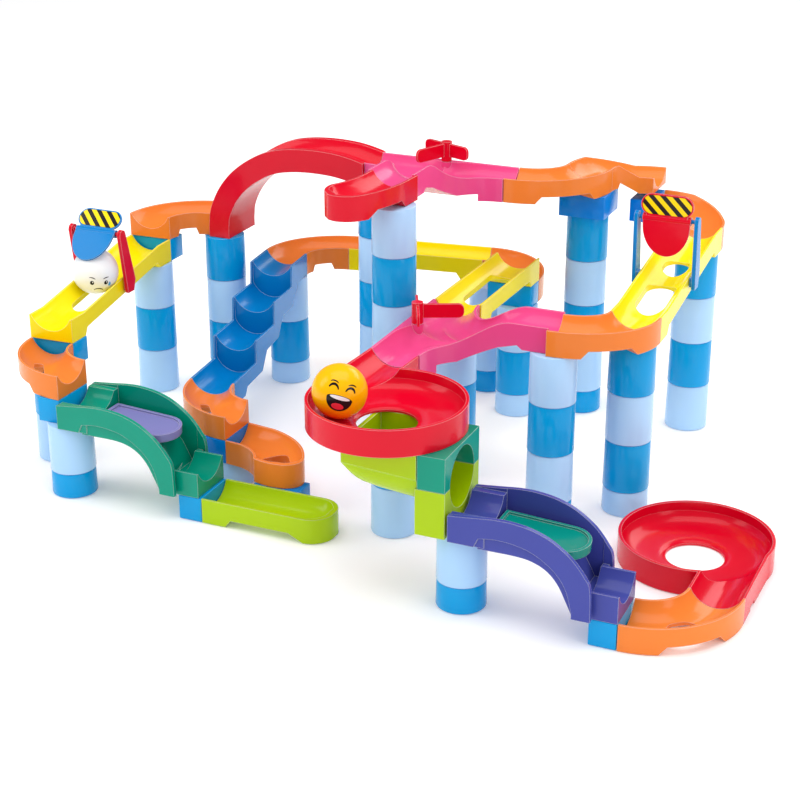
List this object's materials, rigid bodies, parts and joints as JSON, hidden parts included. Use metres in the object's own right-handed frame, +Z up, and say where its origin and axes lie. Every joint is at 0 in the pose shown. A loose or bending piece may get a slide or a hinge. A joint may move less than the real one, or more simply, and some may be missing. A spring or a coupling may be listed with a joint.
{
  "type": "marble run",
  "caption": "Colourful plug-together marble run with tube towers, channel tracks, flip-flop junctions, dishes, a staircase, rocking tongues and swing gates",
  "frame": {"origin": "On the ground plane, under the middle of the whole run's bounding box in plan.", "axes": "+Z is up. +X runs along the long side, from the staircase side to the low round dish. +Y runs across, from the front with both small slides to the rear with the high curves."},
  "size_m": [0.7796, 0.6042, 0.3],
  "materials": {
    "red": "gloss",
    "pink": "gloss",
    "orange": "gloss",
    "yellow": "gloss",
    "lime": "gloss",
    "green": "gloss",
    "blue": "gloss",
    "deep_blue": "gloss",
    "pale_blue": "gloss",
    "violet": "gloss",
    "lilac": "gloss",
    "white": "gloss",
    "ball_yellow": "gloss"
  },
  "bodies": {
    "run": {"arch": "red", "block_cup": "blue", "column_01": "pale_blue", "column_02": "pale_blue", "column_03": "pale_blue", "column_04": "pale_blue", "column_05": "pale_blue", "column_06": "pale_blue", "column_07": "pale_blue", "column_08": "pale_blue", "column_09": "pale_blue", "column_10": "pale_blue", "column_11": "pale_blue", "column_12": "pale_blue", "column_13": "pale_blue", "column_14": "pale_blue", "column_15": "pale_blue", "column_16": "pale_blue", "column_17": "pale_blue", "column_18": "pale_blue", "cup_end": "orange", "curve_a": "orange", "curve_b": "orange", "curve_br": "orange", "curve_c": "orange", "curve_left": "orange", "curve_mid": "orange", "curve_rear": "orange", "curve_stairs_foot": "orange", "curve_stairs_top": "orange", "curve_tl": "orange", "dish_high": "red", "dish_low": "red", "gate_left_frame": "red", "gate_right_frame": "blue", "half_block_ground_l": "blue", "half_block_ground_r": "blue", "half_block_x": "deep_blue", "junction_low": "pink", "junction_top": "pink", "ramp_lime": "lime", "slide_green": "green", "slide_left": "yellow", "slide_purple": "violet", "slide_right": "yellow", "slide_two": "yellow", "stairs": "blue", "start_piece": "red", "straight_rear": "yellow", "trough_lime": "lime", "tunnel_green": "green"},
    "diverter_top": {"diverter_top": "red"},
    "diverter_low": {"diverter_low": "red"},
    "gate_left_flap": {"gate_left_flap": "blue"},
    "gate_right_flap": {"gate_right_flap": "red"},
    "tongue_lilac": {"tongue_lilac": "lilac"},
    "tongue_green": {"tongue_green": "green"},
    "ball_yellow": {"ball_yellow": "ball_yellow"},
    "ball_white": {"ball_white": "white"}
  },
  "joints": [
    {"name": "flip_top", "type": "hinge", "parent": "run", "child": "diverter_top", "pos_m": [-0.03875, 0.1721, 0.285], "axis": [0, 0, 1], "range_deg": [0, 44]},
    {"name": "flip_low", "type": "hinge", "parent": "run", "child": "diverter_low", "pos_m": [0.02375, -0.0509, 0.185], "axis": [0, 0, 1], "range_deg": [-50, 0]},
    {"name": "gate_left_swing", "type": "hinge", "parent": "run", "child": "gate_left_flap", "pos_m": [-0.35775, -0.0209, 0.2125], "axis": [-1, 0, 0], "range_deg": [0, 45]},
    {"name": "gate_right_swing", "type": "hinge", "parent": "run", "child": "gate_right_flap", "pos_m": [0.22725, 0.0881, 0.267], "axis": [-1, 0, 0], "range_deg": [-70, 85]},
    {"name": "rock_lilac", "type": "hinge", "parent": "run", "child": "tongue_lilac", "pos_m": [-0.21775, -0.1799, 0.078], "axis": [0, 1, 0], "range_deg": [0, 15], "stiffness_Nm_per_rad": 0.006, "springref_deg": -20.05},
    {"name": "rock_green", "type": "hinge", "parent": "run", "child": "tongue_green", "pos_m": [0.22025, -0.2469, 0.078], "axis": [0, 1, 0], "range_deg": [0, 15], "stiffness_Nm_per_rad": 0.006, "springref_deg": -20.05},
    {"name": "ball_circling", "type": "hinge", "parent": "run", "child": "ball_yellow", "pos_m": [0.07246, -0.23067, 0.18], "axis": [0, 0, 1], "continuous": true},
    {"name": "ball_rolling", "type": "slide", "parent": "run", "child": "ball_white", "axis": [-0.0376, 0.9873, 0.1542], "range_m": [0, 0.085]}
  ]
}
